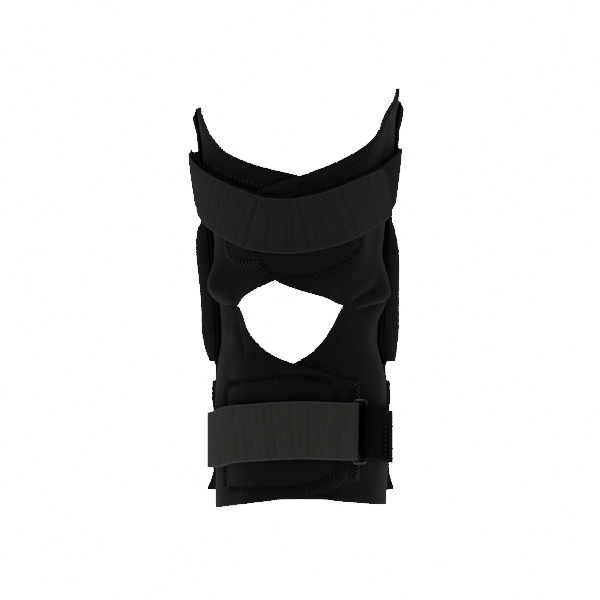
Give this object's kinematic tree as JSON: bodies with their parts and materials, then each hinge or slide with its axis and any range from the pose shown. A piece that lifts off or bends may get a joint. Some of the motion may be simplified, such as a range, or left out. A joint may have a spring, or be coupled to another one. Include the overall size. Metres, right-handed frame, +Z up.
{
  "type": "hinged knee brace",
  "caption": "Wraparound hinged knee brace: neoprene tube whose tongues cross round a knee window, hook-and-loop straps through rings, hinged metal side arms in fabric sleeves.",
  "frame": {"origin": "centre of the wearer's knee inside the brace, where the mount knee_seat is", "axes": "+Z up along the leg, -Y to the side with the crossing tongues and the knee window, +X to the side the calf ring is on"},
  "size_m": [0.1729, 0.1613, 0.334],
  "materials": {
    "neoprene": "cloth-faced matt black",
    "sleeve_cloth": "matt black",
    "loop_cloth": "brushed matt black",
    "strap_webbing": "woven, slight sheen",
    "stay_metal": "satin black",
    "ring_metal": "gloss black"
  },
  "bodies": {
    "root": {"neoprene_wrap": "neoprene", "left_hinge_cover": "sleeve_cloth", "right_hinge_cover": "sleeve_cloth", "left_lower_pocket": "sleeve_cloth", "right_lower_pocket": "sleeve_cloth", "left_upper_arm": "stay_metal", "right_upper_arm": "stay_metal", "left_lower_arm": "stay_metal", "right_lower_arm": "stay_metal", "left_hinge_plates": "stay_metal", "right_hinge_plates": "stay_metal", "thigh_loop_patch": "loop_cloth", "calf_loop_patch": "loop_cloth", "thigh_strap": "strap_webbing", "calf_strap": "strap_webbing", "thigh_ring_tab": "strap_webbing", "calf_ring_tab": "strap_webbing", "thigh_ring": "ring_metal", "calf_ring": "ring_metal"}
  },
  "joints": []
}
